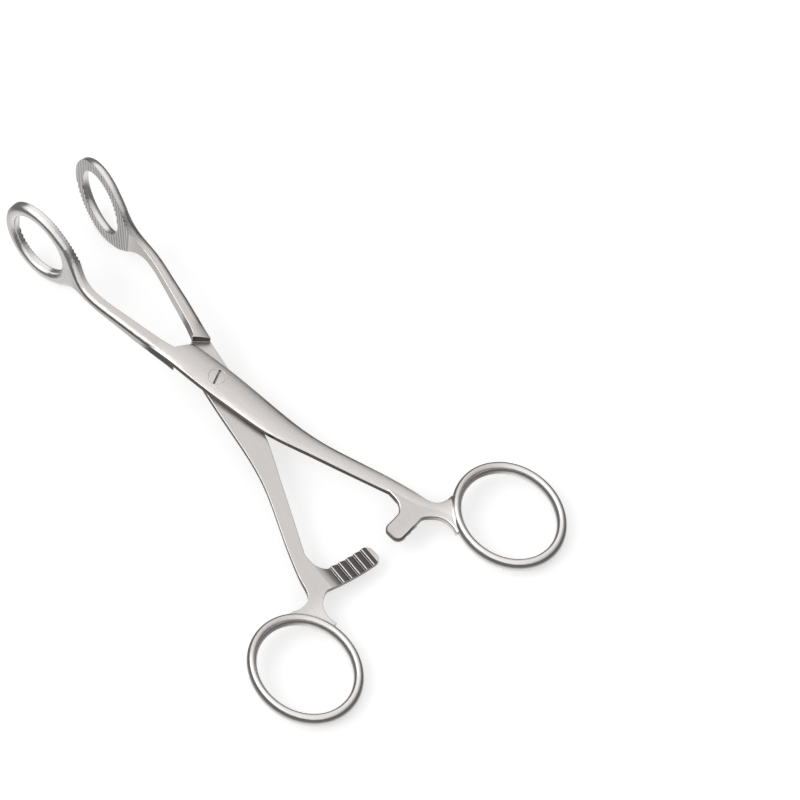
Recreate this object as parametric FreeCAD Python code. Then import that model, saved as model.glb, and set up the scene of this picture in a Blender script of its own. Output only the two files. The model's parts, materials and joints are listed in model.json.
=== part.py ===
# Tongue forceps with ring jaws, a screw lap joint and a ratchet between the finger rings.
# Two forged arms of one pattern, the lower one turned half round, and a slotted pivot screw.
# Lengths are millimetres. The arms are drawn about the pivot: the jaws lie toward -X, the
# finger rings toward +X and the lap faces meet at z = 0. At the end the whole lies on a table.
import FreeCAD, Part
import math
import os

os.makedirs("parts", exist_ok=True)
V = FreeCAD.Vector

# Opening of the joint
close_turn = 8.5        # degrees each arm turns from the drawn pose until the jaw tips meet
jaw_clear = 0.10        # space left between the jaw tips when they meet

# Lap joint and screw
lap_clear = 0.04        # space between the two lap faces
lap_height = 2.9        # lap face to the crown of an arm at the pivot
shoulder_clear = 0.45   # front edge of one arm to the shoulder of the other, closed
bar_clear = 0.15        # lap plane to the flat of a bar behind the joint
bar_clear_from = 8.0
bar_clear_full = 24.0
head_radius = 2.27
head_depth = 1.15
screw_radius = 1.5
screw_end = 2.75
turn_clear = 0.04       # space round the screw in the arm that turns on it
thread_clear = 0.01     # the same in the arm that holds it
slot_width = 0.6
slot_depth = 0.7
slot_turn = 118.0       # degrees from +X
edge_break = 0.12       # small chamfer round the screw and its hole

# Ring jaws
jaw_reach = 62.1        # pivot to the middle of a jaw window, closed
jaw_splay = 7.1         # degrees between a grip face and X in the drawn pose
window_half_length = 8.9
window_half_height = 10.75
jaw_rim_end = 3.2       # rim of the window at the tip of the jaw
jaw_rim_side = 3.8      # the same at its upper and lower side
jaw_thick = 2.6
back_round = 1.4        # rounding of the back of the rim and the shank
window_round = 1.15     # the same round the window
neck_leaves = 27.0      # degrees round the rim where the neck leaves it
side_line = [(10.3, 9.45), (12.4, 7.0), (14.5, 4.75), (16.6, 3.1), (18.9, 2.2), (22.0, 1.9),
             (27.0, 1.97), (34.0, 2.2), (41.0, 2.42), (46.0, 2.3), (50.0, 1.75)]
groove_pitch = 0.8
groove_depth = 0.3
groove_land = 0.12
groove_reach = 14.2     # window's middle to the last groove, toward the shank

# Finger rings
ring_x = 78.2
ring_y = 34.5
ring_half_length = 14.9     # to the middle of the wire
ring_half_width = 12.95
ring_wire_half_width = 1.42
ring_wire_half_height = 2.3
ring_level = 1.65           # middle of the wire above the lap plane

# Ratchet
tang_inner_radius = 61.1
tang_outer_radius = 66.7
tang_height = 2.2           # lap plane to the top of the tang
tang_edge = 0.5             # rounding of its top edges
tang_corner = 1.9           # rounding of the two corners of its tip
tang_inner_end = 11.0       # degrees from X to where its inner side turns into the bar
tang_outer_end = 13.4       # the same for its outer side and the finger ring
tooth_pitch = 2.35
tooth_depth = 0.75
tooth_land = 0.25
tooth_face = 0.25           # run of the steep face of a tooth
first_tooth = 2.5           # tip of the tang to the first crest
tip_land = 1.1
tip_relief = 0.55           # the tip's underside above the crests
crest_turn = 3.0            # degrees the crests lean from the radius
ramp_length = 3.2           # slope from the flat of the arm down to the last tooth
short_tang_tip = 5.6        # degrees from X to the tip of the upper arm's tang
short_tang_teeth = 3
long_tang_tip = -0.8
long_tang_teeth = 5

# Plan of an arm, drawn as the upper one: points on its two long edges
outer_shank = [(-45.5, -11.4), (-41.4, -11.75), (-31.0, -10.4), (-20.7, -8.5), (-13.5, -6.85),
               (-10.4, -6.3), (0.0, -4.6), (10.4, -2.38), (20.7, 0.2), (31.0, 4.45),
               (41.4, 8.9), (51.8, 13.45), (58.0, 16.2), (63.0, 18.7), (67.5, 20.8), (73.0, 20.9)]
outer_handle = [(62.3, 31.0), (63.3, 28.5), (64.2, 26.6), (64.65, 24.9), (64.5, 23.2), (63.9, 21.85),
                (62.8, 20.85), (61.2, 20.2), (59.0, 19.75), (55.8, 18.85), (51.8, 17.5), (41.4, 13.4),
                (31.0, 9.5), (20.7, 7.25), (10.4, 5.8), (0.0, 4.14), (-9.0, 2.3)]
front_corner = (-11.8, 1.55)
front_root = (-13.3, -2.1)
inner_shank = [(-13.6, -2.9), (-14.4, -3.45), (-15.9, -3.95), (-20.7, -5.2), (-31.0, -7.5),
               (-38.0, -8.85), (-42.5, -9.05), (-46.0, -8.45)]
grip_end = 13.5         # window's middle to where the flat grip face ends
back_end = 9.0          # the same for the flat back

# Crown of an arm: x, y and direction of a section's middle, its half width and half height
stations = [(-27.0, -7.6, 12.0, 1.5, 1.5), (-21.5, -6.4, 13.0, 2.3, 2.15),
            (-16.5, -4.7, 14.0, 3.6, 2.55), (-12.0, -2.7, 12.0, 5.1, 2.75), (-6.0, -1.5, 11.0, 5.7, 2.85),
            (0.0, -0.3, 11.0, 5.7, lap_height), (10.4, 1.7, 11.5, 5.2, 2.85),
            (20.7, 3.75, 14.0, 4.45, 2.75), (31.0, 7.0, 21.0, 3.4, 2.65),
            (41.4, 11.2, 23.0, 3.0, 2.6), (51.8, 15.55, 23.0, 2.9, 2.45),
            (57.5, 17.6, 24.0, 2.9, 2.5), (62.0, 19.7, 33.0, 2.8, 2.5),
            (65.0, 21.9, 42.0, 3.0, 2.5), (67.6, 24.3, 45.0, 5.0, 2.6), (71.0, 27.5, 45.0, 6.2, 2.8)]

# Plan of the tang's two roots, into the bar and into the finger ring, and its hidden side
tang_root = [(50.0, 14.0), (54.4, 14.2), (57.6, 13.9), (59.3, 12.75)]
tang_web = [(65.8, 18.0), (67.9, 19.95), (70.8, 20.75), (73.6, 20.3)]
tang_inside = [(73.6, 23.0), (68.5, 23.5), (65.5, 21.0), (60.0, 18.2), (50.0, 15.8)]

# Laying the whole on the table
mesh_step = 0.05
settle_rounds = 6

# Helpers for drawing
lead = 0.7              # how far a curve keeps the direction it is given
rise = 0.02             # least slope of a back edge behind the grip, to tell it from the inner edge
spare = 2.0             # how far a cutter reaches past what it cuts
deep = 20.0             # past every piece, up and down
big = 200.0             # past every piece, along and across
fine = 0.05
tiny = 0.01


def line(a, b):
    return Part.LineSegment(V(a[0], a[1], 0), V(b[0], b[1], 0)).toShape()


def arc(a, b, c):
    return Part.Arc(V(a[0], a[1], 0), V(b[0], b[1], 0), V(c[0], c[1], 0)).toShape()


def smooth(points, start=None, end=None):
    """Curve through plan points, which may start and end in a given direction."""
    curve = Part.BSplineCurve()
    ends = {}
    if start is not None:
        ends["InitialTangent"] = start
    if end is not None:
        ends["FinalTangent"] = end
    curve.interpolate(Points=[V(x, y, 0) for x, y in points], **ends)
    return curve.toShape()


def led(points, way):
    """The same points with one more that leads out of the first in a given direction."""
    step = V(way).normalize() * lead
    return [points[0], (points[0][0] + step.x, points[0][1] + step.y)] + points[1:]


def prism(edges, low, high):
    face = Part.Face(Part.Wire(edges))
    face.translate(V(0, 0, low))
    return face.extrude(V(0, 0, high - low))


def polygon(points, low, high):
    closed = points + [points[0]]
    return prism([line(a, b) for a, b in zip(closed, closed[1:])], low, high)


def turned(point, degrees):
    a = math.radians(degrees)
    return (point[0] * math.cos(a) - point[1] * math.sin(a),
            point[0] * math.sin(a) + point[1] * math.cos(a))


def polar(radius, degrees):
    return turned((radius, 0), degrees)


def oval(half_x, half_y, low, high):
    """Upright prism on an ellipse about the origin."""
    disc = Part.makeCylinder(1, high - low, V(0, 0, low))
    return disc.transformGeometry(FreeCAD.Matrix(half_x, 0, 0, 0, 0, half_y, 0, 0, 0, 0, 1, 0, 0, 0, 0, 1))


# The grip face is a plane whose tip meets the other jaw's when both arms have turned to close
rim_half_length = window_half_length + jaw_rim_end
rim_half_height = window_half_height + jaw_rim_side
tip = turned((-jaw_reach - rim_half_length, -jaw_clear / 2), close_turn)
along = V(math.cos(math.radians(jaw_splay)), math.sin(math.radians(jaw_splay)), 0)
back = V(along.y, -along.x, 0)
window_middle = V(tip[0], tip[1], 0) + along * rim_half_length


def on_grip(distance, depth=0.0):
    """Plan point by its distance from the window's middle and its depth behind the grip face."""
    p = window_middle + along * distance + back * depth
    return (p.x, p.y)


def on_jaw(shape):
    """From jaw axes (x toward the pivot, y upward, z out of the back) to the arm."""
    m = FreeCAD.Matrix(along.x, 0, back.x, window_middle.x,
                       along.y, 0, back.y, window_middle.y,
                       0, 1, 0, 0,
                       0, 0, 0, 1)
    placed = shape.copy()
    placed.Placement = FreeCAD.Placement(m).multiply(placed.Placement)
    return placed


def plan_edges():
    """Outline of an arm seen from above, without the tang and the finger ring."""
    beyond = -rim_half_length - spare
    slope = (front_root[0] - front_corner[0], front_root[1] - front_corner[1])
    grip_tail = on_grip(grip_end)
    edges = [line(on_grip(beyond, jaw_thick), on_grip(back_end, jaw_thick)),
             smooth(led([on_grip(back_end, jaw_thick)] + outer_shank, along)),
             line(outer_shank[-1], (ring_x, ring_y)),
             line((ring_x, ring_y), outer_handle[0]),
             smooth(outer_handle),
             line(outer_handle[-1], front_corner),
             line(front_corner, front_root),
             smooth(led([front_root] + inner_shank + [grip_tail], V(slope[0], slope[1], 0))),
             line(grip_tail, on_grip(beyond)),
             line(on_grip(beyond), on_grip(beyond, jaw_thick))]
    return edges


def crown():
    """Long rounded body of an arm: a loft through ellipses that stand across its length."""
    circle = Part.Wire(Part.Circle(V(0, 0, 0), V(0, 0, 1), 1).toShape())
    wires = []
    for x, y, direction, half_width, half_height in stations:
        c = math.cos(math.radians(direction))
        s = math.sin(math.radians(direction))
        m = FreeCAD.Matrix(-s * half_width, 0, c, x,
                           c * half_width, 0, s, y,
                           0, half_height, 0, 0,
                           0, 0, 0, 1)
        wires.append(circle.transformGeometry(m))
    return Part.makeLoft(wires, True, False)


def front(plan):
    """Ring jaw with its shank: the side view cut from the plan, the back rounded, the grip grooved."""
    a = math.radians(neck_leaves)
    leave = (rim_half_length * math.sin(a), rim_half_height * math.cos(a))
    heading = V(rim_half_length * math.cos(a), -rim_half_height * math.sin(a), 0)
    rim = Part.Ellipse(V(0, rim_half_height, 0), V(rim_half_length, 0, 0), V(0, 0, 0))
    leaves = sorted(rim.parameter(V(leave[0], y, 0)) for y in (leave[1], -leave[1]))
    upper = smooth(led([leave] + side_line, heading))
    end = side_line[-1]
    outline = [rim.toShape(leaves[1], leaves[0] + 2 * math.pi), upper, line(end, (end[0], -end[1])),
               upper.mirror(V(0, 0, 0), V(0, 1, 0))]
    side = prism(Part.__sortEdges__(outline), -deep, deep)
    solid = on_jaw(side).common(plan)
    solid = solid.makeFillet(back_round, [e for e in solid.Edges if on_back(e)])
    solid = solid.cut(on_jaw(oval(window_half_length, window_half_height, -deep, deep)))
    solid = solid.makeFillet(window_round, [e for e in solid.Edges if round_window(e)])
    return solid.cut(on_jaw(grooves()))


def on_back(edge):
    """True for the edges that run along the back of a jaw and its shank."""
    span = edge.LastParameter - edge.FirstParameter
    points = [edge.valueAt(edge.FirstParameter + u * span) for u in (0.1, 0.3, 0.8)]
    xs = [p.x for p in points]
    if max(xs) > front_root[0] or max(xs) - min(xs) < fine:
        return False
    reach = [(p - window_middle).dot(along) for p in points]
    depth = [(p - window_middle).dot(back) for p in points]
    return all(d > jaw_thick - tiny + max(0.0, r - grip_end) * rise for d, r in zip(depth, reach))


def round_window(edge):
    """True for the edge of the window on the back of a jaw."""
    p = edge.valueAt((edge.FirstParameter + edge.LastParameter) / 2) - window_middle
    inside = (p.dot(along) / window_half_length) ** 2 + (p.z / window_half_height) ** 2
    return abs(inside - 1) < 0.001 and on_back(edge)


def grooves():
    """Comb whose teeth cut the grooves of a grip face, drawn along the jaw and stood upright."""
    flat = groove_land / 2
    count = int((groove_reach + rim_half_length) / groove_pitch)
    points = [(groove_reach, -spare)]
    for i in range(count):
        s = groove_reach - i * groove_pitch
        points += [(s - flat, 0.0), (s - groove_pitch / 2, groove_depth), (s - groove_pitch + flat, 0.0)]
    points.append((points[-1][0], -spare))
    comb = polygon(points, -deep, deep)
    comb.rotate(V(0, 0, 0), V(1, 0, 0), 90)
    return comb


def finger_ring():
    """Oval ring of oval wire."""
    half = (ring_wire_half_width / ring_half_length, ring_wire_half_height / ring_half_length)
    section = Part.Ellipse(V(1, 0, half[1]), V(1 + half[0], 0, 0), V(1, 0, 0))
    face = Part.Face(Part.Wire(section.toShape()))
    ring = face.revolve(V(0, 0, 0), V(0, 0, 1), 360)
    m = FreeCAD.Matrix(ring_half_length, 0, 0, ring_x,
                       0, ring_half_width, 0, ring_y,
                       0, 0, ring_half_length, ring_level,
                       0, 0, 0, 1)
    return ring.transformGeometry(m)


def tang(tip_angle, teeth):
    """Flat tang that reaches toward the other arm, its teeth in the underside."""
    inner_tip = polar(tang_inner_radius, tip_angle)
    outer_tip = polar(tang_outer_radius, tip_angle)
    inner_end = polar(tang_inner_radius, tang_inner_end)
    outer_end = polar(tang_outer_radius, tang_outer_end)
    inner_half = polar(tang_inner_radius, (tang_inner_end + tip_angle) / 2)
    outer_half = polar(tang_outer_radius, (tang_outer_end + tip_angle) / 2)
    up = V(*polar(1, 90 + tang_inner_end), 0)
    edges = [smooth(tang_root + [inner_end], V(1, 0.1, 0), up * -1),
             arc(inner_end, inner_half, inner_tip),
             line(inner_tip, outer_tip),
             arc(outer_tip, outer_half, outer_end),
             smooth([outer_end] + tang_web, up, V(1, -0.25, 0))]
    closing = [tang_web[-1]] + tang_inside + [tang_root[0]]
    edges += [line(a, b) for a, b in zip(closing, closing[1:])]
    plate = prism(edges, bar_clear, tang_height)
    corners = [e for e in plate.Edges if meets(e, inner_tip) or meets(e, outer_tip)]
    plate = plate.makeFillet(tang_corner, corners)
    rim = [e for e in plate.Edges if e.BoundBox.ZMin > tang_height - tiny and on_inner_arc(e)]
    plate = plate.makeFillet(tang_edge, rim)
    return plate.cut(teeth_comb(tip_angle, teeth))


def on_inner_arc(edge):
    return isinstance(edge.Curve, Part.Circle) and abs(edge.Curve.Radius - tang_inner_radius) < tiny


def meets(edge, point):
    """True for the upright edge that stands on a plan point."""
    box = edge.BoundBox
    return box.ZLength > 1 and abs(box.Center.x - point[0]) + abs(box.Center.y - point[1]) < tiny


def teeth_comb(tip_angle, teeth):
    """Cutter for the ratchet: steep faces toward the handle, easy slopes toward the tip."""
    half = tooth_land / 2
    low = bar_clear
    root = bar_clear + tooth_depth
    tip_under = bar_clear + tip_relief
    points = [(-spare, -spare), (-spare, tip_under), (tip_land, tip_under)]
    for i in range(teeth):
        u = first_tooth + i * tooth_pitch
        points += [(u - half, low), (u + half, low), (u + half + tooth_face, root)]
    end = points[-1][0] + ramp_length
    points += [(end, low), (end, -spare)]
    comb = polygon(points, -tang_outer_radius / 12, tang_outer_radius / 12)
    comb.rotate(V(0, 0, 0), V(1, 0, 0), 90)
    comb.rotate(V(0, 0, 0), V(0, 0, 1), 90)
    middle = (tang_inner_radius + tang_outer_radius) / 2
    place = polar(middle, tip_angle)
    comb.rotate(V(0, 0, 0), V(0, 0, 1), tip_angle + crest_turn)
    comb.translate(V(place[0], place[1], 0))
    return comb


def lap_space():
    """What the other arm takes up under this one: behind the shoulder, below the lap face."""
    a = V(*turned((front_corner[0], -front_corner[1]), 2 * close_turn), 0)
    b = V(*turned((front_root[0], -front_root[1]), 2 * close_turn), 0)
    run = (b - a).normalize()
    ahead = V(run.y, -run.x, 0)
    if ahead.x > 0:
        ahead = ahead * -1
    p = a + ahead * shoulder_clear
    far = ahead * -big
    corners = [p - run * big, p + run * big, p + run * big + far, p - run * big + far]
    under = polygon([(c.x, c.y) for c in corners], -deep, lap_clear / 2)
    slope = [(bar_clear_from, -spare), (bar_clear_from, lap_clear / 2), (bar_clear_full, bar_clear),
             (big, bar_clear), (big, -spare)]
    wedge = polygon(slope, -big, big)
    wedge.rotate(V(0, 0, 0), V(1, 0, 0), 90)
    return under.fuse(wedge)


def arm(tip_angle, teeth, hole):
    """One arm as the upper one lies, with its tang, less the given hole."""
    plan = prism(plan_edges(), -deep, deep)
    body = crown().common(plan).fuse(front(plan)).cut(lap_space())
    body = body.cut(hole)
    finger_hole = oval(ring_half_length, ring_half_width, -deep, deep)
    finger_hole.translate(V(ring_x, ring_y, 0))
    handle = body.fuse(tang(tip_angle, teeth)).cut(finger_hole)
    return handle.fuse(finger_ring())


def bore(clearance, with_head):
    """Hole for the screw, seen from the head's side."""
    hole = Part.makeCylinder(screw_radius + clearance, 2 * deep, V(0, 0, -deep))
    if with_head:
        seat = lap_height - head_depth
        hole = hole.fuse(Part.makeCylinder(head_radius + clearance, deep, V(0, 0, seat)))
    return hole


def pivot_screw():
    """Screw with a slotted head that follows the crown of the arm it sits in."""
    seat = lap_height - head_depth + thread_clear
    head = Part.makeCylinder(head_radius, deep, V(0, 0, seat)).common(crown())
    shank = Part.makeCylinder(screw_radius, screw_end + seat + head_depth / 3, V(0, 0, -screw_end))
    shank = shank.makeChamfer(edge_break, [e for e in shank.Edges if e.BoundBox.ZMax < tiny - screw_end])
    slot = Part.makeBox(2 * deep, slot_width, deep, V(-deep, -slot_width / 2, lap_height - slot_depth))
    slot.rotate(V(0, 0, 0), V(0, 0, 1), slot_turn)
    return head.fuse(shank).cut(slot)


def half_turn(shape):
    """The upper arm's shape turned over to make the lower one's."""
    shape = shape.copy()
    shape.rotate(V(0, 0, 0), V(1, 0, 0), 180)
    return shape


def lowest(points, normal):
    return min(points, key=lambda q: q.dot(normal))


def resting_turn(supports):
    """Turn that lays the three supports on a level table."""
    clouds = [shape.tessellate(mesh_step)[0] for shape in supports]
    normal = V(0, 0, 1)
    for i in range(settle_rounds):
        a, b, c = [lowest(cloud, normal) for cloud in clouds]
        normal = (b - a).cross(c - a).normalize()
        if normal.z < 0:
            normal = normal * -1
    return FreeCAD.Rotation(normal, V(0, 0, 1))


def lying(shapes):
    """Placement of the whole as it lies, the middle of its box over the origin."""
    cheek = on_jaw(prism([Part.Ellipse(V(0, rim_half_height, 0), V(rim_half_length, 0, 0),
                                       V(0, 0, 0)).toShape()], 0, jaw_thick))
    turn = FreeCAD.Placement(V(0, 0, 0), resting_turn([half_turn(cheek), half_turn(finger_ring()),
                                                       finger_ring()]))
    points = [turn.multVec(q) for shape in shapes for q in shape.tessellate(mesh_step)[0]]
    xs = [q.x for q in points]
    ys = [q.y for q in points]
    zs = [q.z for q in points]
    shift = V(-(min(xs) + max(xs)) / 2, -(min(ys) + max(ys)) / 2, -min(zs))
    return FreeCAD.Placement(shift, turn.Rotation)


upper_arm = arm(short_tang_tip, short_tang_teeth, bore(turn_clear, True))
lower_arm = half_turn(arm(long_tang_tip, long_tang_teeth, bore(thread_clear, False)))
pieces = {"lower_arm": lower_arm, "upper_arm": upper_arm, "pivot_screw": pivot_screw()}
lie = lying(list(pieces.values()))
for name, shape in pieces.items():
    placed = shape.copy()
    placed.Placement = lie.multiply(placed.Placement)
    placed.exportStep("parts/" + name + ".step")
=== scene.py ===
import bpy
import json
import math
from mathutils import Euler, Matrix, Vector

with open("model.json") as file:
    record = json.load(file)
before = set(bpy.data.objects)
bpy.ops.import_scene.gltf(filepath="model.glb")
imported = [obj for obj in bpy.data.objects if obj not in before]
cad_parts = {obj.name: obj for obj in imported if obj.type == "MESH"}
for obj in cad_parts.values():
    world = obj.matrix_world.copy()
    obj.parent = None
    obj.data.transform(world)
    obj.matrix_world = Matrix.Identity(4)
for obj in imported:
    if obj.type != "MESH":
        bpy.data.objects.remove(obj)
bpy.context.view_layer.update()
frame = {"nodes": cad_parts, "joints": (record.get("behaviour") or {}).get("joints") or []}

nodes = frame["nodes"]
hinge = frame["joints"][0]
pivot = Vector(hinge["pos_m"])

# Axes of the lap joint as the forceps lie: up out of it, along toward the rings, and across
lapUp = Vector(hinge["axis"]).normalized()
lapAlong = (Vector((1, 0, 0)) - lapUp * lapUp.x).normalized()
lapAcross = lapUp.cross(lapAlong)
millimetres = 1000.0


def link(tree, source, target):
    tree.links.new(source, target)


def math2(tree, operation, first, second=None):
    made = tree.nodes.new("ShaderNodeMath")
    made.operation = operation
    for socket, value in zip(made.inputs, (first, second)):
        if value is None:
            continue
        if isinstance(value, (int, float)):
            socket.default_value = value
        else:
            link(tree, value, socket)
    return made.outputs[0]


def times(tree, first, second):
    return math2(tree, "MULTIPLY", first, second)


def dot(tree, vector, direction):
    made = tree.nodes.new("ShaderNodeVectorMath")
    made.operation = "DOT_PRODUCT"
    link(tree, vector, made.inputs[0])
    made.inputs[1].default_value = direction
    return made.outputs["Value"]


def stretched(tree, vector, amounts):
    made = tree.nodes.new("ShaderNodeVectorMath")
    made.operation = "MULTIPLY"
    link(tree, vector, made.inputs[0])
    made.inputs[1].default_value = amounts
    return made.outputs["Vector"]


def scaled(tree, vector, amount):
    made = tree.nodes.new("ShaderNodeVectorMath")
    made.operation = "SCALE"
    link(tree, vector, made.inputs[0])
    if isinstance(amount, float):
        made.inputs["Scale"].default_value = amount
    else:
        link(tree, amount, made.inputs["Scale"])
    return made.outputs["Vector"]


# Goes over from one value to another between two limits
def ramp(tree, value, limits, results=(0.0, 1.0), smooth=True):
    made = tree.nodes.new("ShaderNodeMapRange")
    made.interpolation_type = "SMOOTHSTEP" if smooth else "LINEAR"
    link(tree, value, made.inputs["Value"])
    made.inputs["From Min"].default_value = limits[0]
    made.inputs["From Max"].default_value = limits[1]
    made.inputs["To Min"].default_value = results[0]
    made.inputs["To Max"].default_value = results[1]
    return made.outputs["Result"]


def mixValue(tree, factor, first, second):
    made = tree.nodes.new("ShaderNodeMix")
    made.data_type = "FLOAT"
    link(tree, factor, made.inputs[0])
    for socket, value in ((made.inputs[2], first), (made.inputs[3], second)):
        if isinstance(value, (int, float)):
            socket.default_value = value
        else:
            link(tree, value, socket)
    return made.outputs[0]


def mixVector(tree, factor, first, second):
    made = tree.nodes.new("ShaderNodeMix")
    made.data_type = "VECTOR"
    link(tree, factor, made.inputs[0])
    link(tree, first, made.inputs[4])
    link(tree, second, made.inputs[5])
    return made.outputs[1]


def mixColour(tree, factor, first, second):
    made = tree.nodes.new("ShaderNodeMix")
    made.data_type = "RGBA"
    link(tree, factor, made.inputs[0])
    for socket, value in ((made.inputs[6], first), (made.inputs[7], second)):
        if isinstance(value, tuple):
            socket.default_value = (*value, 1.0)
        else:
            link(tree, value, socket)
    return made.outputs[2]


def noise(tree, vector, scale, detail, rough):
    made = tree.nodes.new("ShaderNodeTexNoise")
    link(tree, vector, made.inputs["Vector"])
    made.inputs["Scale"].default_value = scale
    made.inputs["Detail"].default_value = detail
    made.inputs["Roughness"].default_value = rough
    return made.outputs["Fac"]


def useGroup(tree, group):
    made = tree.nodes.new("ShaderNodeGroup")
    made.node_tree = group
    return made


# Stretches are per mm, with x along the marks. Noises are scale, detail and roughness
brush = {
    "fineStretch": (0.10, 3.2, 3.2),
    "fineNoise": (2.6, 3.0, 0.6),
    "fineShare": 0.65,
    "broadStretch": (0.035, 0.9, 0.9),
    "broadNoise": (1.6, 2.0, 0.5),
    "broadShare": 0.35,
    "unevenNoise": (0.11, 3.0, 0.55),
    "middle": (0.35, 0.65),
    "roughSwing": (-0.05, 0.05),
    "slowSwing": (-0.03, 0.03),
    "toneRange": (0.3, 0.7),
    "tone": (0.93, 1.05),
    "strength": 0.10,
    "height": 0.00003,
    "turn": 13.0,  # degrees, from the middle line to each arm
}


# Brush marks: fine lines along one way, broken by a slow unevenness
def makeGrainGroup():
    group = bpy.data.node_groups.new("brushMarks", "ShaderNodeTree")
    face = group.interface
    face.new_socket(name="Place", in_out="INPUT", socket_type="NodeSocketVector")
    face.new_socket(name="Turn", in_out="INPUT", socket_type="NodeSocketFloat")
    face.new_socket(name="Marks", in_out="OUTPUT", socket_type="NodeSocketFloat")
    face.new_socket(name="Uneven", in_out="OUTPUT", socket_type="NodeSocketFloat")
    start = group.nodes.new("NodeGroupInput")
    end = group.nodes.new("NodeGroupOutput")
    turn = group.nodes.new("ShaderNodeVectorRotate")
    turn.rotation_type = "Z_AXIS"
    link(group, start.outputs["Place"], turn.inputs["Vector"])
    link(group, start.outputs["Turn"], turn.inputs["Angle"])
    turned = turn.outputs["Vector"]
    fine = noise(group, stretched(group, turned, brush["fineStretch"]), *brush["fineNoise"])
    broad = noise(group, stretched(group, turned, brush["broadStretch"]), *brush["broadNoise"])
    marks = math2(group, "ADD", times(group, fine, brush["fineShare"]),
                  times(group, broad, brush["broadShare"]))
    link(group, marks, end.inputs["Marks"])
    uneven = noise(group, start.outputs["Place"], *brush["unevenNoise"])
    link(group, uneven, end.inputs["Uneven"])
    return group


# Reach in metres. Pairs are where the mask begins and where it is full
shadeAndGlint = {
    "shadeReach": 0.0009,
    "shelter": (0.85, 0.25),
    "eased": (0.995, 0.90),
    "samples": 8,
}


# Painted shade: a mask of the corners, slots and lines where the parts meet, by how sheltered they
# are, which darkens their colour
def makeShadeGroup():
    group = bpy.data.node_groups.new("paintedCornerShade", "ShaderNodeTree")
    face = group.interface
    face.new_socket(name="Reach", in_out="INPUT", socket_type="NodeSocketFloat")
    face.new_socket(name="Corner", in_out="OUTPUT", socket_type="NodeSocketFloat")
    start = group.nodes.new("NodeGroupInput")
    end = group.nodes.new("NodeGroupOutput")
    shelter = group.nodes.new("ShaderNodeAmbientOcclusion")
    shelter.samples = shadeAndGlint["samples"]
    link(group, start.outputs["Reach"], shelter.inputs["Distance"])
    link(group, ramp(group, shelter.outputs["AO"], shadeAndGlint["shelter"]), end.inputs["Corner"])
    return group


# Rounded edges: the normal eased over an edge, and a mask of where it was eased
def makeEdgeGroup(radius, name):
    group = bpy.data.node_groups.new(name, "ShaderNodeTree")
    face = group.interface
    face.new_socket(name="Eased", in_out="OUTPUT", socket_type="NodeSocketVector")
    face.new_socket(name="Edge", in_out="OUTPUT", socket_type="NodeSocketFloat")
    end = group.nodes.new("NodeGroupOutput")
    bevel = group.nodes.new("ShaderNodeBevel")
    bevel.samples = shadeAndGlint["samples"]
    bevel.inputs["Radius"].default_value = radius
    here = group.nodes.new("ShaderNodeNewGeometry")
    same = group.nodes.new("ShaderNodeVectorMath")
    same.operation = "DOT_PRODUCT"
    link(group, bevel.outputs["Normal"], same.inputs[0])
    link(group, here.outputs["Normal"], same.inputs[1])
    link(group, bevel.outputs["Normal"], end.inputs["Eased"])
    link(group, ramp(group, same.outputs["Value"], shadeAndGlint["eased"]), end.inputs["Edge"])
    return group


# Place on the forceps in mm: x along the arms from the pivot, y across, z up out of the lap
def lapPlace(tree):
    where = tree.nodes.new("ShaderNodeTexCoord")
    shift = tree.nodes.new("ShaderNodeVectorMath")
    shift.operation = "SUBTRACT"
    link(tree, where.outputs["Object"], shift.inputs[0])
    shift.inputs[1].default_value = pivot
    place = scaled(tree, shift.outputs["Vector"], millimetres)
    joined = tree.nodes.new("ShaderNodeCombineXYZ")
    for way, socket in zip((lapAlong, lapAcross, lapUp), joined.inputs):
        link(tree, dot(tree, place, way), socket)
    return joined.outputs["Vector"]


def newSteel(name):
    material = bpy.data.materials.new(name)
    material.use_nodes = True
    tree = material.node_tree
    shader = tree.nodes["Principled BSDF"]
    shader.inputs["Metallic"].default_value = 1.0
    return material, tree, shader


def brushed(tree, place, turn, grain):
    made = useGroup(tree, grain)
    link(tree, place, made.inputs["Place"])
    made.inputs["Turn"].default_value = math.radians(turn)
    return made


def shadeMask(tree, paintedCornerShade):
    made = useGroup(tree, paintedCornerShade)
    made.inputs["Reach"].default_value = shadeAndGlint["shadeReach"]
    return made.outputs["Corner"]


def scratch(tree, marks, normal, shader):
    bump = tree.nodes.new("ShaderNodeBump")
    bump.inputs["Strength"].default_value = brush["strength"]
    bump.inputs["Distance"].default_value = brush["height"]
    link(tree, marks, bump.inputs["Height"])
    link(tree, normal, bump.inputs["Normal"])
    link(tree, bump.outputs["Normal"], shader.inputs["Normal"])


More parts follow.
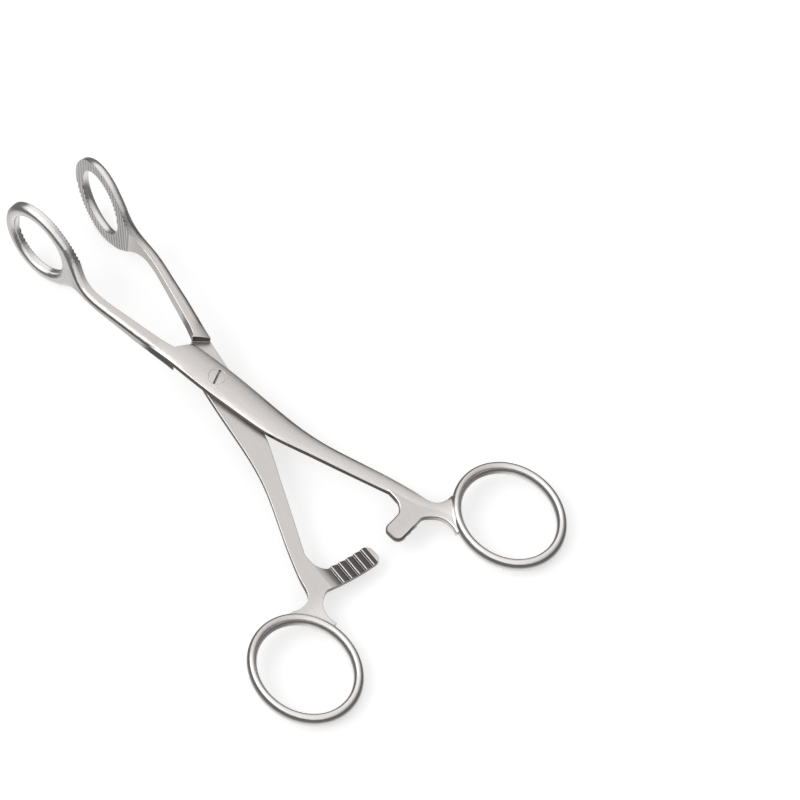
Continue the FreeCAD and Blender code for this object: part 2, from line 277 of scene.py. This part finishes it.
# Pairs are where a part begins and where it is full: mm along or across the arms from the
# pivot, mm of depth behind the grip face, and levels as the cosine of the angle to the flats
arms = {
    "colour": (0.725, 0.69, 0.667),
    "jawColour": (0.97, 0.945, 0.93),
    "ringColour": (0.90, 0.87, 0.85),
    "paintedSideReflectionColour": (0.07, 0.065, 0.064),
    "grooveColour": (0.92, 0.885, 0.865),
    "paintedValleyShadeColour": (0.10, 0.092, 0.09),
    "paintedToothShadeColour": (0.21, 0.199, 0.196),
    "paintedEdgeGlintColour": (0.97, 0.95, 0.935),
    "paintedShadeColour": (0.10, 0.09, 0.088),
    "jaw": (-44.0, -50.0),
    "shank": (-13.0, -22.0),
    "lapped": (-22.0, -18.0),
    "ring": (63.0, 70.0),
    "teethAlong": (57.5, 59.5),
    "teethAcross": (14.0, 12.0),
    "flatLevel": (0.985, 0.998),
    "slopeLevel": (0.988, 0.972),
    "uprightLevel": (0.40, 0.12),
    "gripDepth": (0.42, 0.32),
    "valleyDepth": (0.06, 0.3),
    "crestDepth": {"upper": 0.10, "lower": -0.145},
    "windowMiddle": (-61.37, 9.52),  # mm along and across, as open as drawn
    "gripSplay": 7.1,  # degrees
    "jawRough": 0.24,
    "shankRough": 0.16,
    "bodyRough": 0.24,
    "ringRough": 0.15,
    "flatRough": 0.31,
    "grooveRough": 0.34,
    "toothRough": 0.20,
    "edgeRough": 0.16,
    "leastRough": 0.08,
    "edgeRadius": 0.00030,
    "edgePolish": 0.6,
    "edgeGlintShare": 0.9,
    "shadeShare": 0.8,
}


# Depth in mm behind the crests of the grooved face that meets the other jaw
def gripDepth(tree, place, side):
    splay = math.radians(arms["gripSplay"])
    middle = Vector((arms["windowMiddle"][0], -side * arms["windowMiddle"][1], 0))
    behind = Vector((math.sin(splay), -side * math.cos(splay), 0))
    crest = arms["crestDepth"]["upper" if side > 0 else "lower"]
    return math2(tree, "SUBTRACT", dot(tree, place, behind), middle.dot(behind) + crest)


# The side is 1 for the upper arm and -1 for the lower
def armMaterial(name, side, grain, edges, paintedCornerShade):
    material, tree, shader = newSteel(name)
    place = lapPlace(tree)
    apart = tree.nodes.new("ShaderNodeSeparateXYZ")
    link(tree, place, apart.inputs[0])
    along = apart.outputs["X"]
    across = math2(tree, "ABSOLUTE", apart.outputs["Y"])
    surface = tree.nodes.new("ShaderNodeNewGeometry")
    level = math2(tree, "ABSOLUTE", dot(tree, surface.outputs["True Normal"], lapUp))

    # Where on the arm: jaw, shank, finger ring, and the flats as the wheel cut them
    jaw = ramp(tree, along, arms["jaw"])
    shank = ramp(tree, along, arms["shank"])
    ring = ramp(tree, along, arms["ring"])
    flat = ramp(tree, level, arms["flatLevel"])

    # The grooved grip is a thin layer, with painted shade darkening its colour toward the bottoms
    # of its grooves
    depth = gripDepth(tree, place, side)
    grip = times(tree, ramp(tree, depth, arms["gripDepth"]), jaw)
    paintedValleyShade = times(tree, ramp(tree, depth, arms["valleyDepth"]), grip)

    # Painted shade: the ratchet's slopes are coloured darker than its crests, and they get their
    # own roughness
    sloped = ramp(tree, level, arms["slopeLevel"])
    shadedToothSlopes = times(tree, sloped, ramp(tree, along, arms["teethAlong"]))
    shadedToothSlopes = times(tree, shadedToothSlopes, ramp(tree, across, arms["teethAcross"]))

    # Painted reflection: the upright sides of the lap and the bars are coloured near black,
    # standing in for the dark of the room mirrored in them
    bars = times(tree, ramp(tree, along, arms["lapped"]), math2(tree, "SUBTRACT", 1.0, ring))
    paintedDarkSides = times(tree, ramp(tree, level, arms["uprightLevel"]), bars)

    # Roughness, with the brush marks and polished edges
    rim = useGroup(tree, edges)
    marks = brushed(tree, place, -side * brush["turn"], grain)
    change = ramp(tree, marks.outputs["Marks"], brush["middle"], brush["roughSwing"], smooth=False)
    slow = ramp(tree, marks.outputs["Uneven"], brush["middle"], brush["slowSwing"], smooth=False)
    polish = times(tree, rim.outputs["Edge"], arms["edgePolish"])
    rough = mixValue(tree, ring, arms["bodyRough"], arms["ringRough"])
    rough = mixValue(tree, shank, rough, arms["shankRough"])
    rough = mixValue(tree, jaw, rough, arms["jawRough"])
    rough = mixValue(tree, flat, rough, arms["flatRough"])
    rough = mixValue(tree, grip, rough, arms["grooveRough"])
    rough = mixValue(tree, shadedToothSlopes, rough, arms["toothRough"])
    rough = math2(tree, "ADD", rough, change)
    rough = math2(tree, "ADD", rough, slow)
    rough = mixValue(tree, polish, rough, arms["edgeRough"])
    link(tree, math2(tree, "MAXIMUM", rough, arms["leastRough"]), shader.inputs["Roughness"])

    # Colour
    # Painted highlight: the rounded edges are coloured near white, standing in for a glint
    paintedEdgeGlint = times(tree, rim.outputs["Edge"], arms["edgeGlintShare"])
    # Painted shade: sheltered corners and the lines where the parts meet are coloured dark
    paintedShade = times(tree, shadeMask(tree, paintedCornerShade), arms["shadeShare"])
    tone = ramp(tree, marks.outputs["Marks"], brush["toneRange"], brush["tone"], smooth=False)
    colour = mixColour(tree, ring, arms["colour"], arms["ringColour"])
    colour = mixColour(tree, jaw, colour, arms["jawColour"])
    # Painted reflection: the upright sides take a near-black colour
    colour = mixColour(tree, paintedDarkSides, colour, arms["paintedSideReflectionColour"])
    colour = mixColour(tree, grip, colour, arms["grooveColour"])
    # Painted shade: the bottoms of the grooves are coloured dark
    colour = mixColour(tree, paintedValleyShade, colour, arms["paintedValleyShadeColour"])
    # Painted shade: the ratchet's slopes take a dark colour
    colour = mixColour(tree, shadedToothSlopes, colour, arms["paintedToothShadeColour"])
    colour = mixColour(tree, paintedEdgeGlint, scaled(tree, colour, tone), arms["paintedEdgeGlintColour"])
    link(tree, mixColour(tree, paintedShade, colour, arms["paintedShadeColour"]), shader.inputs["Base Color"])

    # The grooves keep their sharp ridges
    normal = mixVector(tree, grip, rim.outputs["Eased"], surface.outputs["Normal"])
    scratch(tree, marks.outputs["Marks"], normal, shader)
    return material


screw = {
    "colour": (0.72, 0.69, 0.665),
    "paintedSlotShadeColour": (0.035, 0.032, 0.03),
    "rough": 0.25,
    "edgeRadius": 0.00012,
}


def screwMaterial(grain, edges, paintedCornerShade):
    material, tree, shader = newSteel("screwSteel")
    marks = brushed(tree, lapPlace(tree), -brush["turn"], grain)
    rim = useGroup(tree, edges)
    change = ramp(tree, marks.outputs["Marks"], brush["middle"], brush["roughSwing"], smooth=False)
    link(tree, math2(tree, "ADD", change, screw["rough"]), shader.inputs["Roughness"])
    # Painted highlight: the screw's rounded edges are coloured near white, standing in for a glint
    colour = mixColour(tree, rim.outputs["Edge"], screw["colour"], arms["paintedEdgeGlintColour"])
    # Painted shade: the slot and other sheltered corners of the screw are coloured near black
    colour = mixColour(tree, shadeMask(tree, paintedCornerShade), colour, screw["paintedSlotShadeColour"])
    link(tree, colour, shader.inputs["Base Color"])
    scratch(tree, marks.outputs["Marks"], rim.outputs["Eased"], shader)
    return material


def dress(obj, material):
    for slot in obj.material_slots:
        slot.material = material


# The paper glows a little, and the steel mirrors it bright from above and dark along it
paper = {
    "size": 4.0,
    "height": -0.0002,
    "colour": (0.90, 0.90, 0.90),
    "own": 0.44,
    "facing": (0.02, 0.50),
    "seen": (0.80, 0.14),
}


def paperMaterial():
    material = bpy.data.materials.new("whitePaper")
    material.use_nodes = True
    tree = material.node_tree
    tree.nodes.clear()
    out = tree.nodes.new("ShaderNodeOutputMaterial")
    matte = tree.nodes.new("ShaderNodeBsdfDiffuse")
    matte.inputs["Color"].default_value = (*paper["colour"], 1.0)
    glow = tree.nodes.new("ShaderNodeEmission")
    glow.inputs["Strength"].default_value = paper["own"]
    both = tree.nodes.new("ShaderNodeAddShader")
    link(tree, matte.outputs[0], both.inputs[0])
    link(tree, glow.outputs[0], both.inputs[1])
    angle = tree.nodes.new("ShaderNodeLayerWeight")
    mirrored = tree.nodes.new("ShaderNodeEmission")
    seen = ramp(tree, angle.outputs["Facing"], paper["facing"], paper["seen"])
    link(tree, seen, mirrored.inputs["Strength"])
    ray = tree.nodes.new("ShaderNodeLightPath")
    pick = tree.nodes.new("ShaderNodeMixShader")
    link(tree, ray.outputs["Is Glossy Ray"], pick.inputs[0])
    link(tree, both.outputs[0], pick.inputs[1])
    link(tree, mirrored.outputs[0], pick.inputs[2])
    link(tree, pick.outputs[0], out.inputs["Surface"])
    return material


def makePaper():
    half = paper["size"] / 2
    mesh = bpy.data.meshes.new("paper")
    outline = [(-half, -half, 0), (half, -half, 0), (half, half, 0), (-half, half, 0)]
    mesh.from_pydata(outline, [], [(0, 1, 2, 3)])
    sheet = bpy.data.objects.new("paper", mesh)
    sheet.location.z = paper["height"]
    bpy.context.collection.objects.link(sheet)
    mesh.materials.append(paperMaterial())


# Azimuth 0 looks along +Y, and elevation is up from the table
def direction(azimuth, elevation):
    a = math.radians(azimuth)
    e = math.radians(elevation)
    return Vector((math.sin(a) * math.cos(e), -math.cos(a) * math.cos(e), math.sin(e)))


key = {
    "azimuth": -35.0,
    "elevation": 48.0,
    "distance": 1.6,
    "width": 1.4,
    "height": 0.9,
    "power": 5.0,
}


def makeKey():
    light = bpy.data.lights.new("key", "AREA")
    light.shape = "RECTANGLE"
    light.size = key["width"]
    light.size_y = key["height"]
    light.energy = key["power"]
    lamp = bpy.data.objects.new("key", light)
    toward = direction(key["azimuth"], key["elevation"])
    lamp.location = toward * key["distance"]
    lamp.rotation_mode = "QUATERNION"
    lamp.rotation_quaternion = toward.to_track_quat("Z", "Y")
    bpy.context.collection.objects.link(lamp)


# What the steel mirrors, from the dark side to the bright one, with a dark skirt at the table
tent = {
    "bright": (-0.42, -0.70, 0.58),
    "stops": ((0.0, 0.24), (0.30, 0.37), (0.45, 0.62), (0.60, 0.84), (0.76, 0.93), (0.95, 1.02)),
    "skirt": (0.04, 0.34),
    "skirtDark": 0.12,
    "strength": 1.0,
    "lit": 0.62,
}


# Brightness by the way that a mirrored ray leaves
def tentWalls(tree):
    way = tree.nodes.new("ShaderNodeTexCoord")
    bright = Vector(tent["bright"]).normalized()
    near = ramp(tree, dot(tree, way.outputs["Generated"], bright), (-1, 1), smooth=False)
    walls = tree.nodes.new("ShaderNodeValToRGB")
    link(tree, near, walls.inputs[0])
    stops = tent["stops"]
    while len(walls.color_ramp.elements) < len(stops):
        walls.color_ramp.elements.new(0.5)
    for element, (place, value) in zip(walls.color_ramp.elements, stops):
        element.position = place
        element.color = (value, value, value, 1.0)
    height = dot(tree, way.outputs["Generated"], (0, 0, 1))
    skirt = ramp(tree, height, tent["skirt"], (tent["skirtDark"], 1.0))
    return scaled(tree, walls.outputs[0], skirt)


def background(tree, strength):
    made = tree.nodes.new("ShaderNodeBackground")
    made.inputs["Color"].default_value = (1, 1, 1, 1)
    made.inputs["Strength"].default_value = strength
    return made


def chooseBy(tree, ray, other, chosen):
    made = tree.nodes.new("ShaderNodeMixShader")
    link(tree, ray, made.inputs[0])
    link(tree, other, made.inputs[1])
    link(tree, chosen, made.inputs[2])
    return made.outputs[0]


# The camera sees white, the steel mirrors the tent, and all else is lit evenly
def makeTent():
    world = bpy.data.worlds.new("tent")
    bpy.context.scene.world = world
    world.use_nodes = True
    tree = world.node_tree
    tree.nodes.clear()
    out = tree.nodes.new("ShaderNodeOutputWorld")
    ray = tree.nodes.new("ShaderNodeLightPath")
    mirrored = background(tree, tent["strength"])
    link(tree, tentWalls(tree), mirrored.inputs["Color"])
    lit = background(tree, tent["lit"])
    seen = background(tree, 1.0)
    shown = chooseBy(tree, ray.outputs["Is Glossy Ray"], lit.outputs[0], mirrored.outputs[0])
    shown = chooseBy(tree, ray.outputs["Is Camera Ray"], shown, seen.outputs[0])
    link(tree, shown, out.inputs["Surface"])


# Found from the photograph
view = {
    "aim": (0.022863, 0.035109, 0.005),
    "azimuth": 50.2329,
    "elevation": 59.8976,
    "roll": 0.6846,
    "distance": 1.320195,
    "lens": 225.0,
    "sensor": 36.0,
    "clip": (0.05, 10.0),
}


def makeCamera():
    data = bpy.data.cameras.new("camera")
    data.lens = view["lens"]
    data.sensor_width = view["sensor"]
    data.clip_start, data.clip_end = view["clip"]
    camera = bpy.data.objects.new("camera", data)
    bpy.context.collection.objects.link(camera)
    toward = direction(view["azimuth"], view["elevation"])
    camera.location = Vector(view["aim"]) + toward * view["distance"]
    roll = Euler((0, 0, math.radians(-view["roll"]))).to_quaternion()
    camera.rotation_mode = "QUATERNION"
    camera.rotation_quaternion = toward.to_track_quat("Z", "Y") @ roll
    bpy.context.scene.camera = camera


grain = makeGrainGroup()
armEdges = makeEdgeGroup(arms["edgeRadius"], "armEdges")
screwEdges = makeEdgeGroup(screw["edgeRadius"], "screwEdges")
paintedCornerShade = makeShadeGroup()
dress(nodes["lower_arm"], armMaterial("lowerSteel", -1, grain, armEdges, paintedCornerShade))
dress(nodes["upper_arm"], armMaterial("upperSteel", 1, grain, armEdges, paintedCornerShade))
dress(nodes["pivot_screw"], screwMaterial(grain, screwEdges, paintedCornerShade))
print("steel done")

makePaper()
makeTent()
makeKey()
makeCamera()
bpy.context.scene.view_settings.view_transform = "Standard"
print("studio done")
